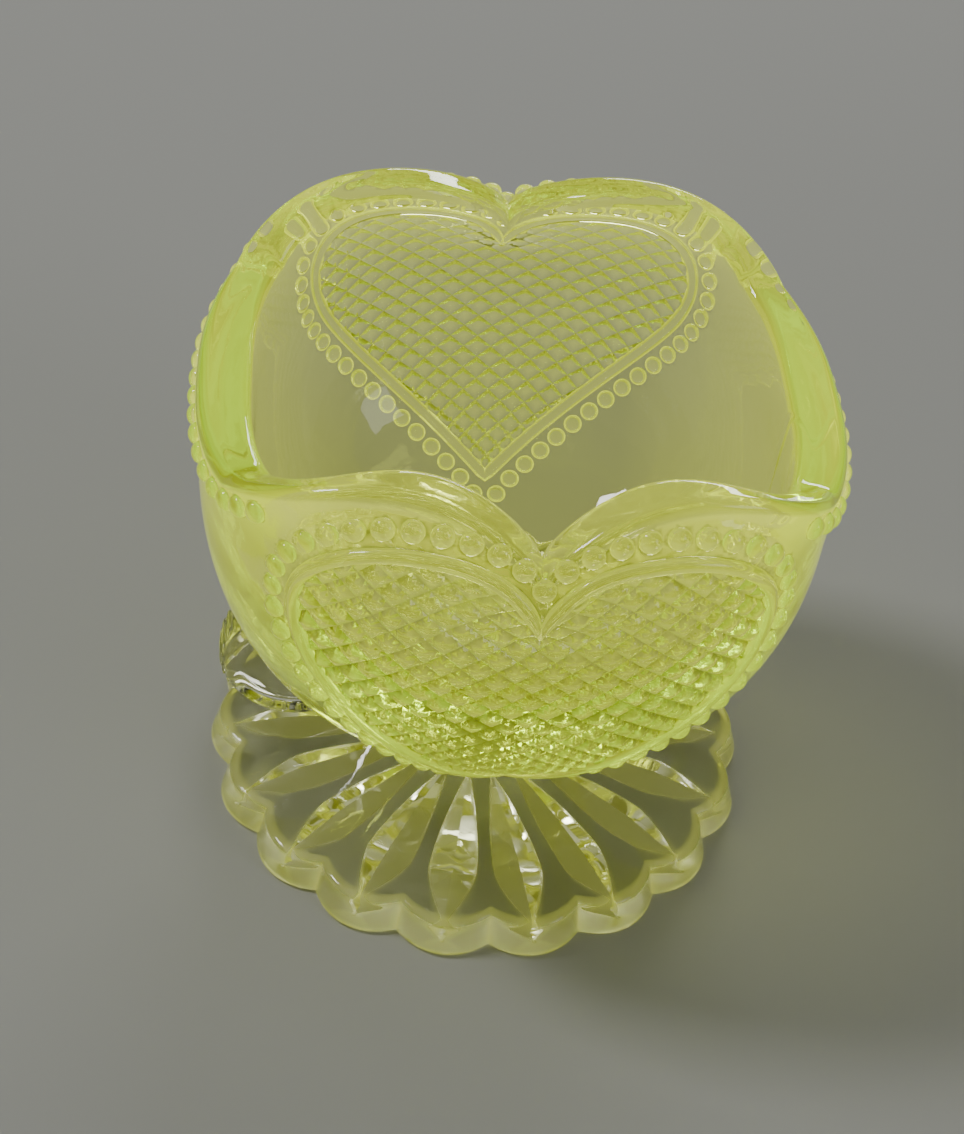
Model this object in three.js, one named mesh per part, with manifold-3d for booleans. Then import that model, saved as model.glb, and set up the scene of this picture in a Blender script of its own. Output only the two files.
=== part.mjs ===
// A footed holder of pressed uranium glass: a belly-shaped bowl whose rim rises in two heart
// lobes at the front and the back, on a short stem and a scalloped foot with rays pressed
// into its underside. Millimetres, +Z up, front heart towards -Y, origin under the foot.
import * as THREE from 'three';
import { mergeVertices } from 'three/addons/utils/BufferGeometryUtils.js';
import Module from 'manifold-3d';

const wasm = await Module();
wasm.setup();

// ---- driving dimensions -------------------------------------------------------------
// foot
const footRadius = 28.4;          // to the tip of a scallop, at the table
const footScallops = 18;
const scallopNotch = 1.7;         // how far a notch cuts in from the tips
const footEdgeHeight = 4.0;       // upright side of the foot
const footEdgeDraft = 0.8;        // the side leans in by this much at its top
const footDomeRise = 7.0;         // from the top of the edge to the stem
const footDomePower = 1.6;
// rays pressed into the underside
const rayInnerRadius = 6.0;
const rayWidestRadius = 19.0;
const rayOuterRadius = 25.4;
const rayWidth = 4.6;
const rayDepth = 1.5;
const rayEndWidth = 0.3;
// stem
const stemRadius = 8.0;
const stemWaist = 0.8;            // how far the stem draws in at mid height
const stemHeight = 3.8;           // from the foot's dome to the underside of the bowl
// bowl, outside
const bowlHeight = 42.7;          // from its underside to the top of the lobes
const bellyHeight = 27.2;         // from its underside to the widest level
const bellyWidth = 58.4;
const bellyDepth = 58.4;
const rimWidth = 60.0;
const rimDepth = 46.4;
const bellyRoundness = 2.3;       // plan exponent: 2 is an ellipse, more is squarer
const rimRoundness = 2.9;
// bowl, inside
const sideWall = 5.0;
const frontWall = 4.4;
const floorThickness = 5.7;
const insideRimRoundness = 3.6;
// rim
const lobeSpan = 27.0;            // from the middle notch to the corner, along the outside
const lobeRise = 5.8;             // lobe top above the notch
const lobeFullness = 0.75;        // under 1 makes the lobes rounder and the notch sharper
const sideDip = 0.6;              // the side rim sags by this much at its middle
// heart relief
const heartHalfWidth = 20.3;
const heartTopDrop = 4.7;         // lobe of the rim to lobe of the raised heart
const heartNotchDepth = 5.0;
const heartShoulderDrop = 12.5;   // lobe of the rim to the widest level of the heart
const heartTipHeight = 4.7;       // above the underside of the bowl
const ridgeWidth = 1.4;
const ridgeHeight = 0.9;
const beadDiameter = 2.1;
const beadHeight = 0.9;
const beadRowOffset = 2.2;        // middle of the ridge to the middle of the bead row
const fieldHeight = 0.7;
const fieldInset = 1.2;           // middle of the ridge to the edge of the diamond field
// bead rows under the side rims
const sideRowDrop = 2.6;
const sideRowEnd = 0.9;           // share of the corner-to-corner length that is beaded
// side knobs
const knobRadius = 8.0;
const knobThickness = 7.0;
const knobEdgeRadius = 2.4;
const knobReach = 27.6;           // from the axis to the knob's outermost point
const knobSeat = 0.3;             // below its lowest point to the foot

const jointGap = 0.3;             // between neighbouring regions of the glass

// ---- levels worked out from the sizes above -----------------------------------------
const footTop = footEdgeHeight + footDomeRise;
const bowlBottom = footTop + stemHeight;
const bellyLevel = bowlBottom + bellyHeight;
const lobeLevel = bowlBottom + bowlHeight;
const notchLevel = lobeLevel - lobeRise;
const floorLevel = bowlBottom + floorThickness;

// ---- mesh resolution ----------------------------------------------------------------
const bowlSegments = 80;
const outsideRows = 11;
const insideRows = 8;
const stepsPerScallop = 6;
const heartSteps = 28;            // along half a heart
const fieldRings = 5;
const fieldSectors = 40;
const sideRowSteps = 14;
const bandSides = 4;
const SMALL = 1e-4;

// ---- materials ----------------------------------------------------------------------
function glass(colour, roughness) {
  return new THREE.MeshStandardMaterial({ color: colour, roughness, metalness: 0 });
}
const bowlGlass = glass(0xc4d24e, 0.08);
const reliefGlass = glass(0xd6e46a, 0.12);
const footGlass = glass(0xb9c67a, 0.08);
const knobGlass = glass(0xcdd5a8, 0.1);

// ---- closed meshes from rows of points ----------------------------------------------
const part = new THREE.Group();

function addPiece(name, geometry, material) {
  const mesh = new THREE.Mesh(geometry, material);
  mesh.name = name;
  part.add(mesh);
  return mesh;
}

function geometryOf(points, faces) {
  const geometry = new THREE.BufferGeometry();
  geometry.setAttribute('position', new THREE.Float32BufferAttribute(points.flat(), 3));
  geometry.setIndex(faces.flat());
  return geometry;
}

// Rings of equal length from one pole to the other; the poles close the ends.
function closedByPoles(firstPole, rings, lastPole) {
  const count = rings[0].length;
  const points = [firstPole, ...rings.flat(), lastPole];
  const last = points.length - 1;
  const faces = [];
  const at = (ring, i) => 1 + ring * count + (i % count);
  for (let i = 0; i < count; i += 1) {
    faces.push([0, at(0, i + 1), at(0, i)]);
    faces.push([last, at(rings.length - 1, i), at(rings.length - 1, i + 1)]);
    for (let ring = 0; ring < rings.length - 1; ring += 1) {
      faces.push([at(ring, i), at(ring, i + 1), at(ring + 1, i + 1)]);
      faces.push([at(ring, i), at(ring + 1, i + 1), at(ring + 1, i)]);
    }
  }
  return geometryOf(points, faces);
}

// Sections of equal length swept one after another; a closed sweep joins its ends.
function sweep(sections, closed) {
  const count = sections[0].length;
  const points = sections.flat();
  const faces = [];
  const spans = closed ? sections.length : sections.length - 1;
  const at = (s, i) => (s % sections.length) * count + (i % count);
  for (let s = 0; s < spans; s += 1) {
    for (let i = 0; i < count; i += 1) {
      faces.push([at(s, i), at(s, i + 1), at(s + 1, i + 1)]);
      faces.push([at(s, i), at(s + 1, i + 1), at(s + 1, i)]);
    }
  }
  if (!closed) {
    const end = sections.length - 1;
    for (let i = 1; i < count - 1; i += 1) {
      faces.push([at(0, 0), at(0, i + 1), at(0, i)]);
      faces.push([at(end, 0), at(end, i), at(end, i + 1)]);
    }
  }
  return geometryOf(points, faces);
}

// ---- the bowl's outside and inside as functions of height ----------------------------
function quarterRound(z, low, high) {
  const t = THREE.MathUtils.clamp((high - z) / (high - low), 0, 1);
  return Math.sqrt(Math.max(0, 1 - t * t));
}

function aboveBelly(z) {
  const t = Math.max(0, (z - bellyLevel) / (lobeLevel - bellyLevel));
  return t * t;
}

function outsidePlan(z, grow = 0) {
  const k = quarterRound(z, bowlBottom, bellyLevel);
  const s = aboveBelly(z);
  return {
    halfWidth: grow + stemRadius + (bellyWidth / 2 - stemRadius) * k + (rimWidth - bellyWidth) / 2 * s,
    halfDepth: grow + stemRadius + (bellyDepth / 2 - stemRadius) * k + (rimDepth - bellyDepth) / 2 * s,
    power: 2 + (bellyRoundness - 2) * k + (rimRoundness - bellyRoundness) * s,
  };
}

function insidePlan(z) {
  const k = quarterRound(z, floorLevel, bellyLevel);
  const s = aboveBelly(z);
  return {
    halfWidth: (bellyWidth / 2 - sideWall) * k + (rimWidth - bellyWidth) / 2 * s,
    halfDepth: (bellyDepth / 2 - frontWall) * k + (rimDepth - bellyDepth) / 2 * s,
    power: 2 + (insideRimRoundness - 2) * (0.4 * k + 0.6 * s),
  };
}

function planPoint(plan, angle) {
  const c = Math.cos(angle);
  const s = Math.sin(angle);
  const x = plan.halfWidth * Math.sign(c) * Math.abs(c) ** (2 / plan.power);
  const y = plan.halfDepth * Math.sign(s) * Math.abs(s) ** (2 / plan.power);
  return [x, y];
}

// Rim height: two lobes with a notch between them on the front and back, a dip at the sides.
// The place is x as a share of the section's half width, so that the rim is level across the wall.
function rimLevel(share) {
  const across = Math.abs(share);
  const lobeShare = lobeSpan / (rimWidth / 2);
  if (across < lobeShare) {
    return notchLevel + lobeRise * Math.sin(Math.PI * across / lobeShare) ** lobeFullness;
  }
  const t = Math.min(1, (across - lobeShare) / (1 - lobeShare));
  return notchLevel - sideDip * Math.sin(Math.PI / 2 * t);
}

function ringAt(plan, share, from) {
  const ring = [];
  for (let i = 0; i < bowlSegments; i += 1) {
    const angle = 2 * Math.PI * i / bowlSegments;
    const rimPlan = plan(notchLevel);
    const top = rimLevel(planPoint(rimPlan, angle)[0] / rimPlan.halfWidth);
    const z = from + (top - from) * share;
    const [x, y] = planPoint(plan(z), angle);
    ring.push([x, y, z]);
  }
  return ring;
}

// Rows lie closer together near the bottom, where the wall turns under.
function rowShare(i, rows) {
  return 1 - Math.cos(Math.PI / 2 * i / rows);
}

function bowlSurface(grow = 0) {
  const rings = [];
  for (let i = 0; i <= outsideRows; i += 1) {
    rings.push(ringAt((z) => outsidePlan(z, grow), rowShare(i, outsideRows), bowlBottom));
  }
  return rings;
}

function buildBowl() {
  const rings = bowlSurface();
  for (let i = insideRows; i > 0; i -= 1) {
    rings.push(ringAt(insidePlan, rowShare(i, insideRows), floorLevel));
  }
  return closedByPoles([0, 0, bowlBottom], rings, [0, 0, floorLevel]);
}

// ---- foot -----------------------------------------------------------------------------
function scallopRadius(radius, step) {
  const across = Math.abs(step) / (stepsPerScallop / 2);
  return radius - scallopNotch * across * across;
}

function domeLevel(radius) {
  const edge = footRadius - footEdgeDraft;
  const t = THREE.MathUtils.clamp((edge - radius) / (edge - stemRadius), 0, 1);
  return footEdgeHeight + footDomeRise * t ** footDomePower;
}

function rayHalfWidth(radius) {
  const inwards = radius < rayWidestRadius;
  const end = inwards ? rayInnerRadius : rayOuterRadius;
  const t = THREE.MathUtils.clamp((radius - rayWidestRadius) / (end - rayWidestRadius), 0, 1);
  return (rayEndWidth + (rayWidth - rayEndWidth) * (1 - t ** 1.5)) / 2;
}

// One ring of the foot; heightAt gives the level for a step counted from the scallop's middle.
function footRing(radiusAt, angleAt, heightAt) {
  const ring = [];
  const half = stepsPerScallop / 2;
  for (let scallop = 0; scallop < footScallops; scallop += 1) {
    for (let step = -half; step < half; step += 1) {
      const middle = 2 * Math.PI * (scallop + 0.5) / footScallops - Math.PI / 2;
      const angle = middle + angleAt(step);
      const radius = radiusAt(step);
      ring.push([radius * Math.cos(angle), radius * Math.sin(angle), heightAt(step)]);
    }
  }
  return ring;
}

const evenStep = (step) => step * 2 * Math.PI / footScallops / stepsPerScallop;

// Underside ring at one radius: the steps beside the middle sit on the ray's edges.
function raysRing(radius) {
  const halfWidth = rayHalfWidth(radius);
  const depth = rayDepth * (2 * halfWidth - rayEndWidth) / (rayWidth - rayEndWidth);
  const edgeAngle = halfWidth / radius;
  const halfSpan = Math.PI / footScallops;
  const angleAt = (step) => {
    const rank = Math.abs(step);
    if (rank <= 1) return Math.sign(step) * edgeAngle;
    const rest = (rank - 1) / (stepsPerScallop / 2 - 1);
    return Math.sign(step) * (edgeAngle + (halfSpan - edgeAngle) * rest);
  };
  return footRing(() => radius, angleAt, (step) => (step === 0 ? depth : 0));
}

function buildFoot(grow = 0) {
  const topRadius = footRadius - footEdgeDraft;
  const rings = [];
  const innerShare = [0, 0.33, 0.67, 1];
  for (const share of innerShare) {
    rings.push(raysRing(rayInnerRadius + (rayWidestRadius - rayInnerRadius) * share));
  }
  for (const share of [0.5, 1]) {
    rings.push(raysRing(rayWidestRadius + (rayOuterRadius - rayWidestRadius) * share));
  }
  rings.push(footRing((step) => grow + scallopRadius(footRadius, step), evenStep, () => 0));
  rings.push(footRing((step) => grow + scallopRadius(topRadius, step), evenStep,
    () => grow + footEdgeHeight));
  const domeRings = 5;
  for (let i = 1; i <= domeRings; i += 1) {
    const t = i / domeRings;
    const radiusAt = (step) => {
      const edge = scallopRadius(topRadius, step);
      return grow + edge + (stemRadius - edge) * t;
    };
    rings.push(footRing(radiusAt, evenStep, (step) => grow + domeLevel(radiusAt(step) - grow)));
  }
  return closedByPoles([0, 0, 0], rings, [0, 0, grow + footTop]);
}

// ---- stem -----------------------------------------------------------------------------
function buildStem() {
  const low = footTop + jointGap;
  const high = bowlBottom - jointGap;
  const profile = [new THREE.Vector2(0, low)];
  const steps = 8;
  for (let i = 0; i <= steps; i += 1) {
    const t = i / steps;
    const radius = stemRadius - stemWaist * Math.sin(Math.PI * t);
    profile.push(new THREE.Vector2(radius, low + (high - low) * t));
  }
  profile.push(new THREE.Vector2(0, high));
  return standUp(new THREE.LatheGeometry(profile, 32));
}

// LatheGeometry turns about Y; the part stands on Z.
function standUp(geometry) {
  geometry.rotateX(Math.PI / 2);
  return geometry;
}

// ---- relief on the front and back of the bowl -------------------------------------------
// A point of the outside wall at (x, z), lifted off along the wall's normal.
function wallDepth(x, z) {
  const plan = outsidePlan(z);
  const u = Math.min(1, Math.abs(x) / plan.halfWidth);
  return plan.halfDepth * (1 - u ** plan.power) ** (1 / plan.power);
}

function wallNormal(x, z) {
  const h = 0.05;
  const slopeX = (wallDepth(x + h, z) - wallDepth(x - h, z)) / (2 * h);
  const slopeZ = (wallDepth(x, z + h) - wallDepth(x, z - h)) / (2 * h);
  return new THREE.Vector3(-slopeX, 1, -slopeZ).normalize();
}

function onWall(x, z, lift) {
  const normal = wallNormal(x, z);
  return new THREE.Vector3(x, wallDepth(x, z), z).addScaledVector(normal, lift);
}

// Outline of the raised heart, clockwise from the notch, in (x, z).
function heartCurve() {
  const top = lobeLevel - heartTopDrop;
  const notch = top - heartNotchDepth;
  const shoulder = lobeLevel - heartShoulderDrop;
  const tip = bowlBottom + heartTipHeight;
  const w = heartHalfWidth;
  const v = (x, z) => new THREE.Vector2(x, z);
  const half = (side) => [
    [v(0, notch), v(side * 0.07 * w, top - 1.2), v(side * 0.3 * w, top), v(side * 0.52 * w, top)],
    [v(side * 0.52 * w, top), v(side * 0.8 * w, top), v(side * w, top - 3), v(side * w, shoulder)],
    [v(side * w, shoulder), v(side * w, shoulder - 8), v(side * 0.45 * w, tip + 7), v(0, tip)],
  ];
  const path = new THREE.CurvePath();
  for (const curve of half(1)) {
    path.add(new THREE.CubicBezierCurve(...curve));
  }
  for (const curve of half(-1).reverse()) {
    path.add(new THREE.CubicBezierCurve(...curve.reverse()));
  }
  return path;
}

// Points of the heart moved outwards by a distance, at even spacing.
function heartOutline(offset, steps) {
  const points = heartCurve().getSpacedPoints(steps).slice(0, steps);
  return points.map((point, i) => {
    const before = points[(i + steps - 1) % steps];
    const after = points[(i + 1) % steps];
    const along = after.clone().sub(before).normalize();
    return new THREE.Vector2(point.x - along.y * offset, point.y + along.x * offset);
  });
}

// A band of half-round section that follows (x, z) points on the wall.
function wallBand(points, width, height, closed) {
  const sections = points.map((point, i) => {
    const before = points[closed ? (i + points.length - 1) % points.length : Math.max(0, i - 1)];
    const after = points[closed ? (i + 1) % points.length : Math.min(points.length - 1, i + 1)];
    const along = after.clone().sub(before).normalize();
    const across = new THREE.Vector2(-along.y, along.x);
    const section = [];
    for (let k = 0; k <= bandSides; k += 1) {
      const angle = Math.PI * k / bandSides;
      const side = Math.cos(angle) * width / 2;
      const lift = jointGap + Math.sin(angle) * height;
      section.push(onWall(point.x + across.x * side, point.y + across.y * side, lift));
    }
    return section;
  });
  return sections;
}

// The front is at -Y. Turning a relief by half a turn about Z makes the one at the back.
function place(sections, facing) {
  return sections.map((section) => section.map((p) => [p.x * facing, p.y * facing, p.z]));
}

function heartBand(offset, width, height, facing) {
  const outline = heartOutline(offset, 2 * heartSteps);
  return sweep(place(wallBand(outline, width, height, true), facing).reverse(), true);
}

function heartField(facing) {
  const edge = heartOutline(-fieldInset, fieldSectors);
  const middle = new THREE.Vector2(0, bellyLevel - 2);
  const layer = (lift) => {
    const rings = [];
    for (let r = 1; r <= fieldRings; r += 1) {
      rings.push(edge.map((p) => {
        const q = middle.clone().lerp(p, r / fieldRings);
        return onWall(q.x, q.y, lift);
      }));
    }
    return rings;
  };
  const under = layer(jointGap);
  const over = layer(jointGap + fieldHeight).reverse();
  const pole = (lift) => {
    const p = onWall(middle.x, middle.y, lift);
    return [p.x * facing, p.y * facing, p.z];
  };
  const rings = place([...under, ...over], facing);
  return closedByPoles(pole(jointGap), rings, pole(jointGap + fieldHeight));
}

// ---- bead rows under the side rims ---------------------------------------------------------
function sideBand(side) {
  const corner = cornerAngle();
  const sections = [];
  for (let i = 0; i <= sideRowSteps; i += 1) {
    const angle = corner * sideRowEnd * (2 * i / sideRowSteps - 1);
    sections.push(sideSection(angle, side));
  }
  return sweep(side > 0 ? sections : sections.reverse(), false);
}

// Angle on the rim's plan at which the front lobes meet the side.
function cornerAngle() {
  const plan = outsidePlan(notchLevel);
  return Math.acos((lobeSpan / plan.halfWidth) ** (plan.power / 2));
}

function sideSection(angle, side) {
  const middle = rimLevel(1) - sideRowDrop;
  const section = [];
  for (let k = 0; k <= bandSides; k += 1) {
    const turn = Math.PI * k / bandSides;
    const z = middle + Math.cos(turn) * beadDiameter / 2;
    const lift = jointGap + Math.sin(turn) * beadHeight;
    const [x, y] = planPoint(outsidePlan(z, lift), angle);
    section.push([side * x, y, z]);
  }
  return section;
}

// ---- side knobs ------------------------------------------------------------------------------
function asSolid(geometry) {
  const bare = geometry.clone();
  bare.deleteAttribute('normal');
  bare.deleteAttribute('uv');
  const merged = mergeVertices(bare, SMALL);
  const vertProperties = new Float32Array(merged.attributes.position.array);
  const triVerts = new Uint32Array(merged.index.array);
  return new wasm.Manifold(new wasm.Mesh({ numProp: 3, vertProperties, triVerts }));
}

function asGeometry(solid) {
  const mesh = solid.getMesh();
  const geometry = new THREE.BufferGeometry();
  geometry.setAttribute('position', new THREE.Float32BufferAttribute(mesh.vertProperties, 3));
  geometry.setIndex(Array.from(mesh.triVerts));
  return geometry;
}

// A disc with a rounded edge, turned about Y so that it faces the front and back.
function knobBlank(side) {
  const profile = [new THREE.Vector2(0, -knobThickness / 2)];
  const steps = 3;
  for (let i = 0; i <= 2 * steps; i += 1) {
    const angle = -Math.PI / 2 + Math.PI * i / (2 * steps);
    const flat = knobThickness / 2 - knobEdgeRadius;
    const y = Math.sin(angle) * knobEdgeRadius + (i < steps ? -flat : flat);
    profile.push(new THREE.Vector2(knobRadius - knobEdgeRadius * (1 - Math.cos(angle)), y));
  }
  profile.push(new THREE.Vector2(0, knobThickness / 2));
  const disc = new THREE.LatheGeometry(profile, 28);
  const centre = knobReach - knobRadius;
  disc.translate(side * centre, 0, domeLevel(centre) + knobSeat + knobRadius);
  return disc;
}

function buildKnobs() {
  const bowl = closedByPoles([0, 0, bowlBottom - jointGap], bowlSurface(jointGap),
    [0, 0, notchLevel]);
  const keepOut = asSolid(bowl).add(asSolid(buildFoot(jointGap)));
  return [-1, 1].map((side) => asGeometry(asSolid(knobBlank(side)).subtract(keepOut)));
}

// ---- assembly ----------------------------------------------------------------------------------
addPiece('foot', buildFoot(), footGlass);
addPiece('stem', buildStem(), footGlass);
addPiece('bowl', buildBowl(), bowlGlass);
const [leftKnob, rightKnob] = buildKnobs();
addPiece('left_knob', leftKnob, knobGlass);
addPiece('right_knob', rightKnob, knobGlass);
for (const [name, facing] of [['front', -1], ['back', 1]]) {
  addPiece(`${name}_heart_ridge`, heartBand(0, ridgeWidth, ridgeHeight, facing), reliefGlass);
  addPiece(`${name}_bead_border`, heartBand(beadRowOffset, beadDiameter, beadHeight, facing),
    reliefGlass);
  addPiece(`${name}_diamond_field`, heartField(facing), reliefGlass);
}
addPiece('left_side_beads', sideBand(-1), reliefGlass);
addPiece('right_side_beads', sideBand(1), reliefGlass);

export default part;
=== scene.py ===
"""Footed pressed-glass vessel in yellow-green uranium glass.

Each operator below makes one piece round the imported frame. All lengths are metres, +Z is up and
the foot rests on Z = 0. Run as a script, the file makes every piece in order.
"""

import math

import bpy
import numpy as np
from bpy.props import FloatProperty, FloatVectorProperty, IntProperty, PointerProperty
from mathutils import Matrix, Vector
from mathutils.kdtree import KDTree


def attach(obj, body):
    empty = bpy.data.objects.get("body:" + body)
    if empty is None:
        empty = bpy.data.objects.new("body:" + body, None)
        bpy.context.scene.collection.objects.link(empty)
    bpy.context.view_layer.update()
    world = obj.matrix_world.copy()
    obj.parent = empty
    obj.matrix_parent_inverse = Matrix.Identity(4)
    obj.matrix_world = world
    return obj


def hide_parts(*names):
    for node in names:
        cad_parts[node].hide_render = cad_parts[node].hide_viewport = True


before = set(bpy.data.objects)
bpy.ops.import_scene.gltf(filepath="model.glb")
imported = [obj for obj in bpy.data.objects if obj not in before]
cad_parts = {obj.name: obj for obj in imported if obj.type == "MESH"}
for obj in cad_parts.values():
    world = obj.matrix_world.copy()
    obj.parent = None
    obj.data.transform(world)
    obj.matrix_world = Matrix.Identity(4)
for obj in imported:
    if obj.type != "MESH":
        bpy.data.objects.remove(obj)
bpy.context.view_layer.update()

bl_info = {
    "name": "Uranium Glass Vessel",
    "version": (1, 0, 0),
    "blender": (4, 5, 0),
    "location": "3D View > Sidebar > Glass",
    "description": "Makes a footed pressed-glass vessel with beaded hearts, piece by piece",
    "category": "Add Mesh",
}

MM = 0.001


def linear(code):
    """An sRGB hex colour as linear red, green and blue."""
    parts = [int(code[i:i + 2], 16) / 255 for i in (1, 3, 5)]
    return tuple(p / 12.92 if p <= 0.04045 else ((p + 0.055) / 1.055) ** 2.4 for p in parts)


def length(label, text, size):
    """A length property whose default is given in millimetres."""
    return FloatProperty(name=label, description=text, default=size * MM, min=0, unit="LENGTH",
                         precision=5)


def colour(label, text, code):
    """A colour property whose default is given as sRGB hex."""
    return FloatVectorProperty(name=label, description=text, default=linear(code),
                               subtype="COLOR", size=3, min=0, max=1)


class GLASS_PG_bowl(bpy.types.PropertyGroup):
    """Outside and inside of the bowl."""

    bottom: length("Bottom level", "Height of the bowl's underside", 14.8)
    belly: length("Belly level", "Height of the widest section", 42.0)
    lobe_top: length("Lobe level", "Height of the rim's highest points", 57.46)
    notch: length("Notch level", "Height of the rim between two lobes", 51.66)
    neck_radius: length("Neck radius", "Radius where the bowl meets the stem", 8.0)
    belly_width: length("Belly width", "Widest section, side to side", 58.4)
    belly_depth: length("Belly depth", "Widest section, front to back", 58.4)
    rim_width: length("Rim width", "Rim, side to side", 60.0)
    rim_depth: length("Rim depth", "Rim, front to back", 46.4)
    side_wall: length("Side wall", "Wall thickness at the sides", 5.0)
    front_wall: length("Front wall", "Wall thickness at front and back", 4.4)
    floor: length("Floor level", "Height of the inside floor", 20.5)
    lobe_span: length("Lobe span", "From the notch to the corner, along the outside", 27.0)
    side_dip: length("Side dip", "How far the rim sags at the sides", 0.6)
    rim_fillet: length("Rim fillet", "Rounding of the rim's two edges", 1.25)


class GLASS_PG_relief(bpy.types.PropertyGroup):
    """Hearts, beads and diamonds on the wall."""

    heart_half: length("Heart half width", "Half the width of a heart", 20.3)
    heart_top: length("Heart top", "Height of the heart's lobes", 52.8)
    heart_notch: length("Heart notch", "Height of the heart's notch", 46.9)
    heart_shoulder: length("Heart shoulder", "Height of the heart's widest points", 45.0)
    heart_tip: length("Heart tip", "Height of the heart's point", 19.5)
    ridge_width: length("Ridge width", "Width of the half-round outline", 1.45)
    ridge_taper: length("Ridge taper", "Length over which the outline narrows to the notch", 3.2)
    bead_pitch: length("Bead pitch", "Distance from one bead to the next", 2.45)
    bead_diameter: length("Bead diameter", "Diameter of one bead", 2.1)
    bead_rise: length("Bead rise", "How far a bead stands off the wall", 0.84)
    bead_offset: length("Bead offset", "Distance from the outline to the row of beads", 2.2)
    side_row_drop: length("Side row drop", "Distance from the side rim down to its beads", 2.7)
    diamond_height: length("Diamond height", "Height of one diamond from its groove", 0.6)
    diamond_sink: length("Diamond sink", "Depth of the grooves below the wall", 0.25)
    diamond_rise: length("Diamond length", "Vertical size of one diamond", 2.6)
    diamonds_round: IntProperty(name="Diamonds round", default=60, min=12,
                                description="Number of diamonds that would go round the bowl")
    collar_depth: length("Collar depth", "How far the smooth collar lies below the beads", 0.45)
    seam_height: length("Seam height", "Height of the mould seams", 0.14)


class GLASS_PG_foot(bpy.types.PropertyGroup):
    """Scalloped foot with leaf-shaped grooves underneath, and the stem on it."""

    radius: length("Foot radius", "Radius at the scallops", 28.4)
    scallops: IntProperty(name="Scallops", description="Number of scallops", default=18, min=3)
    notch: length("Scallop notch", "Depth between two scallops", 1.7)
    edge: length("Edge height", "Height of the upright edge", 4.0)
    draft: length("Edge draft", "How far the edge leans in", 0.8)
    dome: length("Dome rise", "Rise from the edge to the stem", 7.0)
    ray_inner: length("Ray inner radius", "Where a groove starts", 6.0)
    ray_widest: length("Ray widest radius", "Where a groove is widest", 19.0)
    ray_outer: length("Ray outer radius", "Where a groove ends", 25.4)
    ray_width: length("Ray width", "Widest part of a groove", 4.6)
    ray_end: length("Ray end width", "Width of a groove's two ends", 0.3)
    ray_depth: length("Ray depth", "Deepest part of a groove", 1.5)
    stem_radius: length("Stem radius", "Radius of the stem's ends", 8.0)
    stem_waist: length("Stem waist", "How far the stem narrows", 0.8)


class GLASS_PG_knob(bpy.types.PropertyGroup):
    """Clear ribbed disc between bowl and foot on each side."""

    radius: length("Knob radius", "Radius of the disc", 7.7)
    thickness: length("Knob thickness", "Thickness of the disc", 7.0)
    edge: length("Knob edge", "Rounding of the disc's edge", 2.4)
    centre: length("Knob centre", "Distance from the axis to the disc's centre", 19.6)
    level: length("Knob level", "Height of the disc's centre", 13.95)
    rib_diameter: length("Rib diameter", "Diameter of the ribs on the edge", 0.7)
    rib_pitch: length("Rib pitch", "Distance from one rib to the next", 1.3)
    gap: length("Knob gap", "Clearance to the bowl and the foot", 0.12)


class GLASS_PG_colours(bpy.types.PropertyGroup):
    """Colours of the glass and the stage."""

    bowl: colour("Bowl glass", "Light that the bowl's surface lets in", "#fbfdf0")
    bowl_depth: colour("Bowl glass in depth", "Light that thick glass lets through", "#fbff86")
    # Colour of the painted glow: emission that stands in for the glass's fluorescence and for light
    # gathered at its edges.
    bowl_painted_glow: colour("Bowl glow", "Fluorescence of the bowl", "#dce348")
    foot: colour("Foot glass", "Light that the foot's surface lets in", "#fbfcee")
    foot_depth: colour("Foot glass in depth", "Light that the thick foot lets through", "#fbffb0")
    knob: colour("Knob glass", "Light that the clear knobs let in", "#fdfdf6")
    floor: colour("Floor", "Pale floor", "#a3a39f")
    world: colour("Surroundings", "Soft light from all round", "#c8cbc4")


# ---------------------------------------------------------------------------------------------
# Helpers
# ---------------------------------------------------------------------------------------------

def add_node(tree, kind, inputs=None, **settings):
    """Adds one node with its settings, and links or sets its inputs by name or number."""
    node = tree.nodes.new(kind)
    for name, value in settings.items():
        setattr(node, name, value)
    for key, value in (inputs or {}).items():
        for source in value if isinstance(value, list) else [value]:
            if isinstance(source, bpy.types.NodeSocket):
                tree.links.new(source, node.inputs[key])
            else:
                node.inputs[key].default_value = source
    return node


def new_tree(name, sizes, objects=()):
    """An empty geometry tree with its named inputs; returns the tree and its input sockets."""
    tree = bpy.data.node_groups.new(name, "GeometryNodeTree")
    sockets = {key: "NodeSocketObject" for key in objects}
    sockets |= {key: "NodeSocketFloat" for key in (*sizes, "Crease Angle")}
    sockets["Glass"] = "NodeSocketMaterial"
    tree.interface.new_socket("Geometry", in_out="OUTPUT", socket_type="NodeSocketGeometry")
    tree.interface.new_socket("Geometry", in_out="INPUT", socket_type="NodeSocketGeometry")
    for label, kind in sockets.items():
        tree.interface.new_socket(label, in_out="INPUT", socket_type=kind)
    group = add_node(tree, "NodeGroupInput")
    return tree, {s.name: s for s in group.outputs if s.name}


def size_values(group, names):
    """Values of a group's sizes, by the labels that the node trees give them."""
    return {name: float(getattr(group, name.lower().replace(" ", "_"))) for name in names}


def add_rule(tree, given, fields, rule):
    """Adds a Math node for each step of a rule; returns every input, field and result by name."""
    values = dict(given)
    for key in fields:
        node = add_node(tree, "GeometryNodeInputNamedAttribute", {"Name": key}, data_type="FLOAT")
        values[key] = node.outputs["Attribute"]
    for name, operation, *sources in rule:
        inputs = {i: values.get(s, s) for i, s in enumerate(sources)}
        values[name] = add_node(tree, "ShaderNodeMath", inputs, operation=operation).outputs[0]
    return values


def add_path(tree, path):
    """Turns an input object made of edges into a curve."""
    info = add_node(tree, "GeometryNodeObjectInfo", {"Object": path})
    return add_node(tree, "GeometryNodeMeshToCurve", {"Mesh": info.outputs["Geometry"]}).outputs[0]


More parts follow.
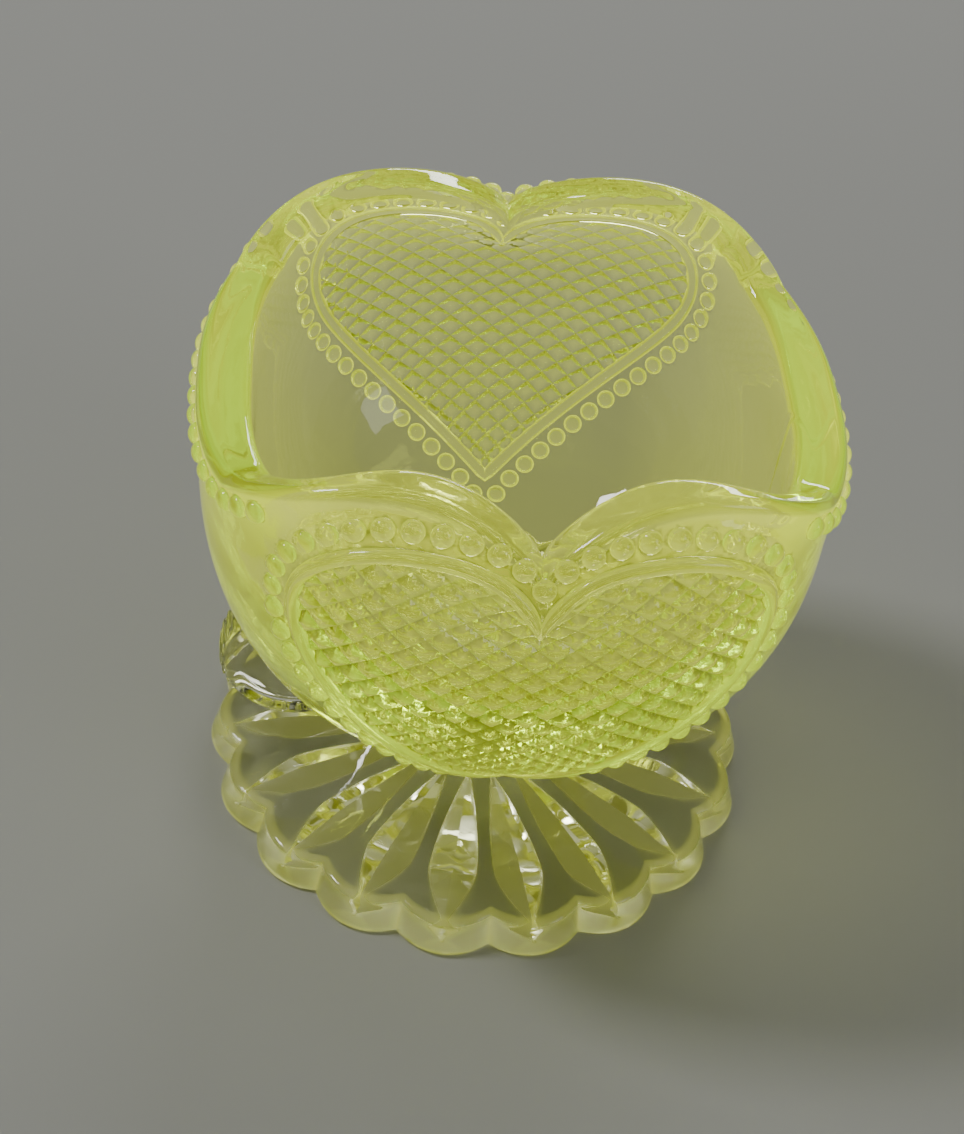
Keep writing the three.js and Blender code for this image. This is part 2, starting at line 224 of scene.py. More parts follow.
def add_balls(tree, path, pitch, radius, scale, **turn):
    """Sets stretched balls at even steps along a path."""
    seats = add_node(tree, "GeometryNodeResampleCurve",
                     {"Curve": add_path(tree, path), "Length": pitch}, mode="LENGTH")
    ball = add_node(tree, "GeometryNodeMeshIcoSphere", {"Radius": radius, "Subdivisions": 3})
    stretch = add_node(tree, "ShaderNodeCombineXYZ", dict(enumerate(scale)))
    balls = add_node(tree, "GeometryNodeInstanceOnPoints",
                     {"Points": seats.outputs[0], "Instance": ball.outputs["Mesh"],
                      "Scale": stretch.outputs[0], **turn})
    return add_node(tree, "GeometryNodeRealizeInstances", {"Geometry": balls.outputs[0]})


def end_tree(tree, given, shape):
    """Shades a shape smooth except at its creases, and gives it its glass."""
    smooth = add_node(tree, "GeometryNodeSetShadeSmooth",
                      {"Geometry": shape, "Shade Smooth": True}, domain="FACE")
    angle = add_node(tree, "GeometryNodeInputMeshEdgeAngle")
    sharp = add_node(tree, "FunctionNodeCompare",
                     {0: angle.outputs["Unsigned Angle"], 1: given["Crease Angle"]},
                     operation="GREATER_THAN", data_type="FLOAT")
    crease = add_node(tree, "GeometryNodeSetShadeSmooth",
                      {"Geometry": smooth.outputs[0], "Selection": sharp.outputs[0],
                       "Shade Smooth": False}, domain="EDGE")
    real = add_node(tree, "GeometryNodeRealizeInstances", {"Geometry": crease.outputs[0]})
    finish = add_node(tree, "GeometryNodeSetMaterial",
                      {"Geometry": real.outputs[0], "Material": given["Glass"]})
    add_node(tree, "NodeGroupOutput", {"Geometry": finish.outputs[0]})
    return tree


def run_tree(source, tree, values, name):
    """Runs the tree on an object, keeps the result as a plain mesh object and clears the rest."""
    modifier = source.modifiers.new(tree.name, "NODES")
    modifier.node_group = tree
    for item in tree.interface.items_tree:
        if item.item_type == "SOCKET" and item.in_out == "INPUT" and item.name in values:
            modifier[item.identifier] = values[item.name]
    bpy.context.view_layer.update()
    depsgraph = bpy.context.evaluated_depsgraph_get()
    mesh = bpy.data.meshes.new_from_object(source.evaluated_get(depsgraph), depsgraph=depsgraph)
    source.modifiers.clear()
    if not mesh.polygons:
        raise RuntimeError(f"{name}: the node tree {tree.name} made no faces")
    mesh.name = name
    piece = bpy.data.objects.new(name, mesh)
    bpy.context.scene.collection.objects.link(piece)
    for old in [source] + [v for v in values.values() if isinstance(v, bpy.types.Object)]:
        old_mesh = old.data
        bpy.data.objects.remove(old)
        bpy.data.meshes.remove(old_mesh)
    return piece


def mesh_object(name, points, faces=(), edges=(), floats=None, vectors=None):
    """A mesh object from arrays, with named point attributes."""
    mesh = bpy.data.meshes.new(name)
    mesh.from_pydata([tuple(p) for p in points], list(edges), list(faces))
    for key, data in (floats or {}).items():
        attribute = mesh.attributes.new(key, "FLOAT", "POINT")
        attribute.data.foreach_set("value", np.asarray(data, dtype=np.float32).ravel())
    for key, data in (vectors or {}).items():
        attribute = mesh.attributes.new(key, "FLOAT_VECTOR", "POINT")
        attribute.data.foreach_set("vector", np.asarray(data, dtype=np.float32).ravel())
    mesh.update()
    piece = bpy.data.objects.new(name, mesh)
    bpy.context.scene.collection.objects.link(piece)
    return piece


def skin_faces(rows, columns, checker):
    """Triangles of a closed skin: a first pole, rows of columns, and a last pole.

    The checker turns every other quad's diagonal, so that slanting grooves stay on edges.
    """
    faces = []
    start, end = 0, 1 + rows * columns
    for j in range(columns):
        after = (j + 1) % columns
        faces.append((start, 1 + after, 1 + j))
        last = 1 + (rows - 1) * columns
        faces.append((end, last + j, last + after))
    for i in range(rows - 1):
        low, high = 1 + i * columns, 1 + (i + 1) * columns
        for j in range(columns):
            after = (j + 1) % columns
            a, b, c, d = low + j, low + after, high + after, high + j
            if checker and (i + j) % 2:
                faces += [(a, b, d), (b, c, d)]
            else:
                faces += [(a, b, c), (a, c, d)]
    return faces


def finish_piece(piece, slot, *nodes):
    """Attaches a finished piece to the root body and hides the frame solids that it stands for. The
    slot is not used.
    """
    piece.data.update()
    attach(piece, "root")
    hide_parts(*nodes)


# ---------------------------------------------------------------------------------------------
# Shape of the bowl
# ---------------------------------------------------------------------------------------------

# A level section's power: 2 is an ellipse, and these extras make it squarer.
BELLY_EXTRA, RIM_EXTRA, INSIDE_EXTRA = 0.3, 0.6, 1.6
LOBE_FULLNESS = 0.75
STEPS_PER_DIAMOND = 6


def wall_shares(bowl, z, low):
    """How far the wall at height z has swelled to its belly, and how far it has gone to the rim."""
    drop = (bowl.belly - z) / (bowl.belly - low)
    swell = np.where(z < bowl.belly, np.sqrt(np.clip(1 - drop ** 2, 0, 1)), 1.0)
    return swell, np.clip((z - bowl.belly) / (bowl.lobe_top - bowl.belly), 0, None) ** 2


def outside_section(bowl, z, gap=0.0):
    """Half width, half depth and roundness power of the outside at height z."""
    k, s = wall_shares(bowl, z, bowl.bottom - gap)
    width = bowl.neck_radius + (bowl.belly_width / 2 - bowl.neck_radius) * k
    width = width + (bowl.rim_width - bowl.belly_width) / 2 * s + gap
    depth = bowl.neck_radius + (bowl.belly_depth / 2 - bowl.neck_radius) * k
    depth = depth + (bowl.rim_depth - bowl.belly_depth) / 2 * s + gap
    return width, depth, 2 + BELLY_EXTRA * k + RIM_EXTRA * s


def inside_section(bowl, z):
    """Half width, half depth and roundness power of the inside at height z."""
    k, s = wall_shares(bowl, z, bowl.floor)
    width = (bowl.belly_width / 2 - bowl.side_wall) * k
    width = width + (bowl.rim_width - bowl.belly_width) / 2 * s
    depth = (bowl.belly_depth / 2 - bowl.front_wall) * k
    depth = depth + (bowl.rim_depth - bowl.belly_depth) / 2 * s
    return width, depth, 2 + INSIDE_EXTRA * (0.4 * k + 0.6 * s)


def plan_point(section, turn):
    """Place on a section at a turn, with the front at turn 0."""
    width, depth, power = section
    c, s = np.sin(turn), -np.cos(turn)
    x = width * np.sign(c) * np.abs(c) ** (2 / power)
    y = depth * np.sign(s) * np.abs(s) ** (2 / power)
    return x, y


def on_section(section, turn, z):
    """Points of a section at turns and heights."""
    x, y = plan_point(section, turn)
    return np.column_stack([x, y, z * np.ones_like(x)])


def even_turns(section, columns):
    """Turns that divide a section's outline into equal lengths, starting at the front."""
    turn = np.linspace(0, 2 * math.pi, 8193)
    x, y = plan_point(section, turn)
    run = np.concatenate([[0], np.cumsum(np.hypot(np.diff(x), np.diff(y)))])
    return np.interp(np.arange(columns) / columns * run[-1], run, turn)


def rim_level(bowl, share):
    """Height of the rim at x as a share of the section's half width."""
    share = np.abs(share)
    corner = bowl.lobe_span / (bowl.rim_width / 2)
    lobe = np.sin(math.pi * np.clip(share / corner, 0, 1)) ** LOBE_FULLNESS
    side = np.clip((share - corner) / (1 - corner), 0, 1)
    front = bowl.notch + (bowl.lobe_top - bowl.notch) * lobe
    return np.where(share < corner, front, bowl.notch - bowl.side_dip * np.sin(math.pi / 2 * side))


def even_levels(profile, low, high, step, count=4001):
    """Heights that divide a profile's length into equal steps of about the given size."""
    angle = np.linspace(0, 1, count)
    z = low + (high - low) * angle ** 2
    r = profile(z)
    run = np.concatenate([[0], np.cumsum(np.hypot(np.diff(z), np.diff(r)))])
    rows = max(2, round(run[-1] / step))
    return np.interp(np.linspace(0, run[-1], rows + 1), run, z)


def bezier(points, count):
    """Points on one cubic curve, without its last."""
    t = np.linspace(0, 1, count, endpoint=False)[:, None]
    a, b, c, d = (np.array(p) for p in points)
    return a * (1 - t) ** 3 + 3 * b * t * (1 - t) ** 2 + 3 * c * t ** 2 * (1 - t) + d * t ** 3


def heart_half(relief):
    """Right half of the heart's outline as x and z, from its notch to its tip."""
    w, top, tip = relief.heart_half, relief.heart_top, relief.heart_tip
    notch, shoulder = relief.heart_notch, relief.heart_shoulder
    curves = [
        [(0, notch), (0.07 * w, top - 1.2 * MM), (0.3 * w, top), (0.52 * w, top)],
        [(0.52 * w, top), (0.8 * w, top), (w, top - 3 * MM), (w, shoulder)],
        [(w, shoulder), (w, shoulder - 8 * MM), (0.45 * w, tip + 7 * MM), (0, tip)],
    ]
    return np.concatenate([bezier(c, 72) for c in curves] + [[(0, tip)]])


def mirrored(path):
    """A right half made whole: down the right side and up the left."""
    return np.concatenate([path, path[-2::-1] * (-1, 1)])


def wall_depth(bowl, x, z):
    """Distance of the outside wall from the middle plane at x and z."""
    width, depth, power = outside_section(bowl, z)
    return depth * np.clip(1 - np.abs(x / width) ** power, 0, 1) ** (1 / power)


def on_front(bowl, path):
    """Points of a path in x and z, put on the front wall."""
    return np.column_stack([path[:, 0], -wall_depth(bowl, path[:, 0], path[:, 1]), path[:, 1]])


def wall_normals(bowl, path):
    """Outward normals of the front wall at a path in x and z."""
    e = 0.01 * MM
    x, z = path[:, 0], path[:, 1]
    slope_x = (wall_depth(bowl, x + e, z) - wall_depth(bowl, x - e, z)) / (2 * e)
    slope_z = (wall_depth(bowl, x, z + e) - wall_depth(bowl, x, z - e)) / (2 * e)
    normals = np.column_stack([-slope_x, -np.ones(len(x)), -slope_z])
    return normals / np.linalg.norm(normals, axis=1)[:, None]


def distance_from(bowl, outline, points):
    """Distance of each point from an outline that lies on the front wall."""
    tree = KDTree(len(outline))
    for i, p in enumerate(on_front(bowl, outline)):
        tree.insert(p, i)
    tree.balance()
    return np.array([tree.find(Vector(p))[2] for p in points])


def bead_half(bowl, relief):
    """Right half of the row of beads round a heart, as x and z."""
    heart = heart_half(relief)
    points, normals = on_front(bowl, heart), wall_normals(bowl, heart)
    along = np.gradient(points, axis=0)
    along /= np.linalg.norm(along, axis=1)[:, None]
    outward = np.cross(normals, along)
    row = points + outward * relief.bead_offset
    path = row[:, [0, 2]]
    near = distance_from(bowl, mirrored(heart), on_front(bowl, path))
    path = path[(near > 0.96 * relief.bead_offset) & (path[:, 0] > 0.35 * MM)]
    first = (0, path[0, 1] - 0.5 * MM)
    last = (0, relief.heart_tip - 1.1 * relief.bead_offset)
    return np.concatenate([[first], path, [last]])


def face_pair(points, normals):
    """A path and its normals on the front, and the same turned to the back."""
    turn = (-1, -1, 1)
    return [(points, normals), (points * turn, normals * turn)]


def path_object(name, paths, taper=0.0):
    """Polylines as one mesh of edges, with the wall's normal and the ridge's scale at each point.

    A path that ends where it starts is closed into a loop, unless its ends taper.
    """
    points, normals, scale, edges = [], [], [], []
    for path, normal in paths:
        first = len(points)
        loop = not taper and np.linalg.norm(path[0] - path[-1]) < 0.001 * MM
        if loop:
            path, normal = path[:-1], normal[:-1]
        run = np.concatenate([[0], np.cumsum(np.linalg.norm(np.diff(path, axis=0), axis=1))])
        points += [tuple(p) for p in path]
        normals += [tuple(n) for n in normal]
        if taper:
            ends = np.clip(np.minimum(run, run[-1] - run) / taper, 0, 1)
            scale += list(0.25 + 0.75 * np.sin(ends * math.pi / 2))
        else:
            scale += [1.0] * len(path)
        edges += [(first + i, first + i + 1) for i in range(len(path) - 1)]
        if loop:
            edges.append((first + len(path) - 1, first))
    return mesh_object(name, points, edges=edges, floats={"scale": scale},
                       vectors={"outward": normals})


def side_rows(bowl, relief):
    """Rows of beads under the two side rims, with their normals."""
    turn = np.linspace(0.2 * math.pi, 0.8 * math.pi, 600)
    z = np.full_like(turn, bowl.notch)
    for _ in range(4):
        section = outside_section(bowl, z)
        x, y = plan_point(section, turn)
        z = rim_level(bowl, x / section[0]) - relief.side_row_drop
    section, e = outside_section(bowl, z), 0.01
    path = on_section(section, turn, z)
    along = on_section(section, turn + e, z) - on_section(section, turn - e, z)
    normals = np.column_stack([along[:, 1], -along[:, 0], 0 * z])
    normals /= np.linalg.norm(normals, axis=1)[:, None]
    side_start = 23.5 * MM
    keep = path[:, 0] > side_start
    return face_pair(path[keep], normals[keep])


def bowl_skin(bowl, relief):
    """The bowl's plain skin, from its underside up the outside, over the rim and down inside."""
    columns = relief.diamonds_round * STEPS_PER_DIAMOND
    step = relief.diamond_rise / STEPS_PER_DIAMOND
    fillet = bowl.rim_fillet
    # Above this level the rows are squeezed or stretched to follow the rim.
    squeeze = 46.5 * MM
    levels = even_levels(lambda z: outside_section(bowl, z)[1], bowl.bottom, bowl.lobe_top - fillet,
                         step)
    turns = [even_turns(outside_section(bowl, z), columns) for z in levels]
    inner_turn = even_turns(inside_section(bowl, np.float64(bowl.notch)), columns)

    def rim_of(section, turn):
        z = np.full(columns, bowl.notch)
        for _ in range(4):
            plan = section(bowl, z)
            z = rim_level(bowl, plan_point(plan, turn)[0] / plan[0])
        return z

    outer_rim = rim_of(outside_section, turns[-1])
    inner_rim = rim_of(inside_section, inner_turn)
    rows = []
    for level, turn in zip(levels, turns):
        share = max(0.0, (level - squeeze) / (levels[-1] - squeeze))
        z = np.where(share > 0, squeeze + share * (outer_rim - fillet - squeeze), level)
        rows.append(on_section(outside_section(bowl, z), turn, z))
    outside_rows = len(rows)

    z = inner_rim - fillet
    inner = on_section(inside_section(bowl, z), inner_turn, z)
    outer = rows[-1]
    across = inner[:, :2] - outer[:, :2]
    wall = np.linalg.norm(across, axis=1)[:, None]
    across = across / wall
    # Over the rim: a rounded edge, a slightly crowned top and the inner rounded edge.
    quarter = np.linspace(0, math.pi / 2, 7)[1:]
    rounded = [(fillet * (1 - math.cos(a)), fillet * (1 - math.sin(a))) for a in quarter]
    over = [(reach, 0, drop) for reach, drop in rounded]
    over += [(fillet * (1 - 2 * share), share, 0) for share in np.linspace(0, 1, 6)[1:-1]]
    over += [(-reach, 1, drop) for reach, drop in rounded[::-1]]
    for reach, share, drop in over:
        place = outer[:, :2] + across * (reach + wall * share)
        part = (reach + wall[:, 0] * share) / wall[:, 0]
        top = outer_rim + (inner_rim - outer_rim) * part
        rows.append(np.column_stack([place, top - drop]))
    rows.append(inner)
    for share in np.linspace(0, 1, 11)[1:]:
        z = inner[:, 2] + (bowl.belly - inner[:, 2]) * share
        rows.append(on_section(inside_section(bowl, z), inner_turn, z))
    for a in np.linspace(math.pi / 2, 0, 34)[1:-1]:
        z = np.full(columns, bowl.belly - (bowl.belly - bowl.floor) * math.cos(a))
        rows.append(on_section(inside_section(bowl, z), inner_turn, z))
    points = np.concatenate([[(0, 0, bowl.bottom)], *rows, [(0, 0, bowl.floor)]])
    return points, len(rows), outside_rows, columns


def relief_fields(bowl, relief, points, rows, outside_rows, columns):
    """Point values that place the diamonds, the smooth collar and the seams on the skin."""
    count = outside_rows * columns
    skin = points[1:1 + count]
    row, column = np.divmod(np.arange(count), columns)
    whole = mirrored(heart_half(relief))
    x = skin[:, 0] * np.where(skin[:, 1] < 0, 1, -1)
    z = skin[:, 2]
    # Both faces use the front heart: a point at the back is turned to the front first.
    front = np.column_stack([x, -np.abs(skin[:, 1]), z])
    distance = distance_from(bowl, whole, front)
    outline_x, outline_z = whole[:, 0], whole[:, 1]
    inside = np.zeros(count, dtype=bool)
    for i in range(len(whole)):
        x0, z0, x1, z1 = outline_x[i - 1], outline_z[i - 1], outline_x[i], outline_z[i]
        if z0 != z1:
            crosses = (z0 > z) != (z1 > z)
            inside ^= crosses & (x < (x1 - x0) * (z - z0) / (z1 - z0) + x0)
    signed = np.where(inside, -distance, distance)
    fade = np.clip((-signed - 0.2 * MM) / (0.35 * MM), 0, 1)
    beads = relief.bead_offset + relief.bead_diameter / 2
    start = beads + 0.25 * MM
    collar_low, collar_side, soften = 44 * MM, 22 * MM, 3 * MM
    collar = np.clip((signed - start) / (0.4 * MM), 0, 1)
    collar = collar * np.clip((z - collar_low) / soften, 0, 1)
    collar = collar * np.clip((collar_side - np.abs(x)) / soften, 0, 1)
    rim = rim_level(bowl, x / outside_section(bowl, z)[0]) - bowl.rim_fillet
    collar = collar * np.clip((rim - z) / (0.9 * MM), 0, 1)
    seam = np.isin(column, [columns // 4, 3 * columns // 4]) & (z > bowl.bottom + 1 * MM)
    turned = np.where(column > columns // 2, column - columns, column)
    values = {
        "groove_up": (turned + row) / STEPS_PER_DIAMOND,
        "groove_down": (turned - row) / STEPS_PER_DIAMOND,
        "diamonds": fade,
        "collar": collar,
        "seam": seam.astype(float),
    }
    total = len(points)
    result = {}
    for key, data in values.items():
        result[key] = np.zeros(total)
        result[key][1:1 + count] = data
    # Painted glow: emission stands in for the glass's fluorescence and for the light that gathers in
    # the rim and, less, in the side walls and the raised diamonds; the inside gets less of it.
    rim_painted_glow_start, rim_painted_glow_span = bowl.notch - 7 * MM, 8 * MM
    side_painted_glow_start, side_painted_glow_span = 15 * MM, 13 * MM
    edge = np.clip((points[:, 2] - rim_painted_glow_start) / rim_painted_glow_span, 0, 1) ** 1.5
    side = np.clip((np.abs(points[:, 0]) - side_painted_glow_start) / side_painted_glow_span, 0, 1)
    outer = np.zeros(total)
    outer[1:1 + count] = 1
    inner_share = np.where(outer > 0, 1, 0.4)
    wall = outer * (0.14 + 0.6 * side)
    result["glow"] = np.maximum(np.maximum(edge * inner_share, wall), 0.75 * result["diamonds"])
    return result


# Painted glow of the beads and ridges.
RELIEF_PAINTED_GLOW = 0.62
RELIEF_SIZES = ("Diamond Height", "Diamond Sink", "Collar Depth", "Seam Height", "Bead Pitch",
                "Bead Diameter", "Bead Rise", "Ridge Width")


def relief_tree():
    """Lifts diamonds, collar and seams off a skin, then joins beads and ridges to it."""
    tree, given = new_tree("wall_relief", RELIEF_SIZES, ("Bead Paths", "Ridge Paths"))
    fields = ("groove_up", "groove_down", "diamonds", "collar", "seam", "scale", "glow")
    rule = [
        ("up", "FRACT", "groove_up"), ("up", "SUBTRACT", "up", 0.5), ("up", "ABSOLUTE", "up"),
        ("down", "FRACT", "groove_down"), ("down", "SUBTRACT", "down", 0.5),
        ("down", "ABSOLUTE", "down"),
        ("edge", "MAXIMUM", "up", "down"), ("edge", "MULTIPLY", "edge", 2.0),
        ("edge", "POWER", "edge", 1.7), ("pillow", "SUBTRACT", 1.0, "edge"),
        ("lift", "MULTIPLY_ADD", "pillow", "Diamond Height", 0.0),
        ("lift", "SUBTRACT", "lift", "Diamond Sink"), ("lift", "MULTIPLY", "lift", "diamonds"),
        ("dip", "MULTIPLY", "collar", "Collar Depth"), ("lift", "SUBTRACT", "lift", "dip"),
        ("lift", "MULTIPLY_ADD", "seam", "Seam Height", "lift"),
        # Painted highlight and shade: the raised points carry the painted glow, and the grooves
        # between them get painted shade with less of it.
        ("dark", "MULTIPLY", "diamonds", "edge"), ("dark", "MULTIPLY_ADD", "dark", -0.85, 1.0),
        ("lit", "MULTIPLY", "glow", "dark"),
        ("bead_radius", "MULTIPLY", "Bead Diameter", 0.5),
        ("ridge_radius", "MULTIPLY", "Ridge Width", 0.5),
        ("flat", "DIVIDE", "Bead Rise", "bead_radius"),
    ]
    values = add_rule(tree, given, fields, rule)
    normal = add_node(tree, "GeometryNodeInputNormal")
    lift = add_node(tree, "ShaderNodeVectorMath",
                    {0: normal.outputs[0], "Scale": values["lift"]}, operation="SCALE")
    lit = add_node(tree, "GeometryNodeStoreNamedAttribute",
                   {"Geometry": given["Geometry"], "Name": "glow", "Value": values["lit"]},
                   data_type="FLOAT")
    wall = add_node(tree, "GeometryNodeSetPosition",
                    {"Geometry": lit.outputs[0], "Offset": lift.outputs[0]})
    outward = add_node(tree, "GeometryNodeInputNamedAttribute", {"Name": "outward"},
                       data_type="FLOAT_VECTOR")
    stand = add_node(tree, "FunctionNodeAlignRotationToVector",
                     {"Vector": outward.outputs["Attribute"]}, axis="Z")
    beads = add_balls(tree, given["Bead Paths"], given["Bead Pitch"], values["bead_radius"],
                      (1.0, 1.0, values["flat"]), Rotation=stand.outputs[0])
    round_bar = add_node(tree, "GeometryNodeCurvePrimitiveCircle",
                         {"Resolution": 16, "Radius": values["ridge_radius"]})
    ridge = add_node(tree, "GeometryNodeCurveToMesh",
                     {"Curve": add_path(tree, given["Ridge Paths"]),
                      "Profile Curve": round_bar.outputs[0], "Scale": values["scale"],
                      "Fill Caps": True})
    # The beads and ridges carry an even painted glow.
    raised = [add_node(tree, "GeometryNodeStoreNamedAttribute",
                       {"Geometry": shape.outputs[0], "Name": "glow", "Value": RELIEF_PAINTED_GLOW},
                       data_type="FLOAT").outputs[0] for shape in (beads, ridge)]
    joined = add_node(tree, "GeometryNodeMeshBoolean", {"Mesh 2": [wall.outputs[0], *raised]},
                      operation="UNION", solver="MANIFOLD")
    return end_tree(tree, given, joined.outputs["Mesh"])


# ---------------------------------------------------------------------------------------------
# Shape of the foot
# ---------------------------------------------------------------------------------------------

STEPS_PER_SCALLOP = 24
FOOT_SIZES = ("Scallops", "Notch", "Ray Inner", "Ray Widest", "Ray Outer", "Ray Width", "Ray End",
              "Ray Depth")


def foot_rows(foot):
    """Rows of the foot's section as radius, height, edge share and groove share."""
    rows = [(r * MM, 0, 0, 0) for r in (1, 2.5, 4)]
    rows += [(r, 0, 0, 1) for r in np.linspace(foot.ray_inner, foot.ray_widest, 15)]
    rows += [(r, 0, 0, 1) for r in np.linspace(foot.ray_widest, foot.ray_outer, 10)[1:]]
    rest = foot.radius - 0.7 * MM
    for share in (0.3, 0.6, 0.8, 1):
        r = foot.ray_outer + (rest - foot.ray_outer) * share
        rows.append((r, 0, share ** 2, 1 - share))
    foot_fillet = 0.5 * MM
    for a in np.linspace(0, math.pi / 2, 5)[1:]:
        r = foot.radius - foot_fillet * (1 - math.sin(a))
        rows.append((r, foot_fillet * (1 - math.cos(a)), 1, 0))
    top_fillet = 0.9 * MM
    top_radius = foot.radius - foot.draft
    for share in (0.2, 0.4, 0.6, 0.8, 1):
        z = foot_fillet + (foot.edge - top_fillet - foot_fillet) * share
        rows.append((foot.radius - foot.draft * share, z, 1, 0))
    for a in np.linspace(0, math.pi / 2, 6)[1:]:
        r = top_radius - top_fillet * (1 - math.cos(a)) * 0.9
        rows.append((r, foot.edge - top_fillet * (1 - math.sin(a)), 1, 0))
    first = rows[-1][0]
    for r in np.linspace(first, foot.stem_radius, 30)[1:]:
        share = (first - r) / (first - foot.stem_radius)
        rows.append((r, foot.edge + foot.dome * share ** 1.6, (1 - share) ** 4, 0))
    return rows


def foot_skin(foot):
    """The foot's plain skin, with the values that its node tree shapes it by."""
    columns = foot.scallops * STEPS_PER_SCALLOP
    rows = foot_rows(foot)
    top = foot.edge + foot.dome
    column = np.arange(columns)
    petal = (column % STEPS_PER_SCALLOP) / STEPS_PER_SCALLOP * 2 - 1
    axis = (column // STEPS_PER_SCALLOP + 0.5) * 2 * math.pi / foot.scallops - math.pi / 2
    angle = axis + petal * math.pi / foot.scallops
    points, data = [(0, 0, 0)], [(0, 0, 0, 0, 0, 0, 0)]
    for r, z, edge, groove in rows:
        points += [(r * math.cos(a), r * math.sin(a), z) for a in angle]
        # Painted glow: emission stands in for the light that gathers along the edge's two rims and
        # in its notches, and less beside the grooves.
        rim = float(edge == 1) * (0.2 + 0.8 * abs(2 * z / foot.edge - 1) ** 3)
        data += [(r, z, edge, groove, p, t,
                  max(rim, float(edge == 1) * abs(p) ** 6, 0.45 * groove * (abs(p) <= 0.5)))
                 for p, t in zip(petal, axis)]
    points.append((0, 0, top))
    data.append((0, top, 0, 0, 0, 0, 0))
    keys = ("reach", "height", "edge", "groove", "petal", "axis", "glow")
    floats = dict(zip(keys, np.array(data).T))
    return mesh_object("foot_plain", points, skin_faces(len(rows), columns, False), floats=floats)


def foot_tree():
    """Scallops the foot's edge and cuts its leaf-shaped grooves."""
    tree, given = new_tree("foot_rule", FOOT_SIZES)
    fields = ("reach", "height", "edge", "groove", "petal", "axis")
    rule = [
        # Half the angle of one scallop, and how far the point is from the scallop's middle.
        ("half", "DIVIDE", math.pi, "Scallops"),
        ("off", "ABSOLUTE", "petal"), ("side", "SIGN", "petal"),
        # Half width of the groove at this radius.
        ("inner_span", "SUBTRACT", "Ray Widest", "Ray Inner"),
        ("outer_span", "SUBTRACT", "Ray Outer", "Ray Widest"),
        ("past", "SUBTRACT", "reach", "Ray Widest"),
        ("out_share", "DIVIDE", "past", "outer_span"),
        ("in_share", "DIVIDE", "past", "inner_span"), ("in_share", "MULTIPLY", "in_share", -1.0),
        ("share", "MAXIMUM", "out_share", "in_share"), ("share", "MINIMUM", "share", 1.0),
        ("share", "MAXIMUM", "share", 0.0), ("share", "POWER", "share", 1.5),
        ("full", "SUBTRACT", 1.0, "share"), ("swell", "SUBTRACT", "Ray Width", "Ray End"),
        ("wide", "MULTIPLY_ADD", "swell", "full", "Ray End"), ("half_wide", "MULTIPLY", "wide", 0.5),
        ("safe_reach", "MAXIMUM", "reach", 0.001),
        ("leaf", "DIVIDE", "half_wide", "safe_reach"),
        # The first half of the steps lies in the groove, the second on the flat beside it.
        ("twice", "MULTIPLY", "off", 2.0), ("in_leaf", "MINIMUM", "twice", 1.0),
        ("beside", "SUBTRACT", "twice", 1.0), ("beside", "MAXIMUM", "beside", 0.0),
        ("rest", "SUBTRACT", "half", "leaf"), ("turn_leaf", "MULTIPLY", "leaf", "in_leaf"),
        ("turn_leaf", "MULTIPLY_ADD", "rest", "beside", "turn_leaf"),
        ("turn_even", "MULTIPLY", "off", "half"), ("turn_gap", "SUBTRACT", "turn_leaf", "turn_even"),
        ("turn", "MULTIPLY_ADD", "turn_gap", "groove", "turn_even"),
        ("fold", "DIVIDE", "turn", "half"), ("fold", "MULTIPLY", "fold", "fold"),
        ("pull", "MULTIPLY", "fold", "Notch"), ("pull", "MULTIPLY", "pull", "edge"),
        ("radius", "SUBTRACT", "reach", "pull"),
        ("deep", "DIVIDE", "wide", "Ray Width"), ("deep", "MULTIPLY", "deep", "Ray Depth"),
        ("slope", "SUBTRACT", 1.0, "in_leaf"), ("deep", "MULTIPLY", "deep", "slope"),
        ("cut", "FLOOR", "groove"), ("deep", "MULTIPLY", "deep", "cut"),
        ("z", "ADD", "height", "deep"), ("angle", "MULTIPLY_ADD", "side", "turn", "axis"),
        ("cos", "COSINE", "angle"), ("sin", "SINE", "angle"),
        ("x", "MULTIPLY", "radius", "cos"), ("y", "MULTIPLY", "radius", "sin"),
    ]
    values = add_rule(tree, given, fields, rule)
    place = add_node(tree, "ShaderNodeCombineXYZ", {0: values["x"], 1: values["y"], 2: values["z"]})
    shaped = add_node(tree, "GeometryNodeSetPosition",
                      {"Geometry": given["Geometry"], "Position": place.outputs[0]})
    return end_tree(tree, given, shaped.outputs[0])


def knob_tree():
    """Sets ribs round a disc's edge and cuts the disc back from the bowl and the foot."""
    tree, given = new_tree("knob_ribs", ("Rib Pitch", "Rib Diameter", "Rib Length"),
                           ("Rib Path", "Bowl", "Foot"))
    ribs = add_balls(tree, given["Rib Path"], given["Rib Pitch"], 0.5,
                     (given["Rib Diameter"], given["Rib Length"], given["Rib Diameter"]))
    joined = add_node(tree, "GeometryNodeMeshBoolean",
                      {"Mesh 2": [given["Geometry"], ribs.outputs[0]]},
                      operation="UNION", solver="MANIFOLD")
    bowl = add_node(tree, "GeometryNodeObjectInfo", {"Object": given["Bowl"]})
    foot = add_node(tree, "GeometryNodeObjectInfo", {"Object": given["Foot"]})
    cut = add_node(tree, "GeometryNodeMeshBoolean",
                   {"Mesh 1": joined.outputs["Mesh"],
                    "Mesh 2": [bowl.outputs["Geometry"], foot.outputs["Geometry"]]},
                   operation="DIFFERENCE", solver="MANIFOLD")
    return end_tree(tree, given, cut.outputs["Mesh"])


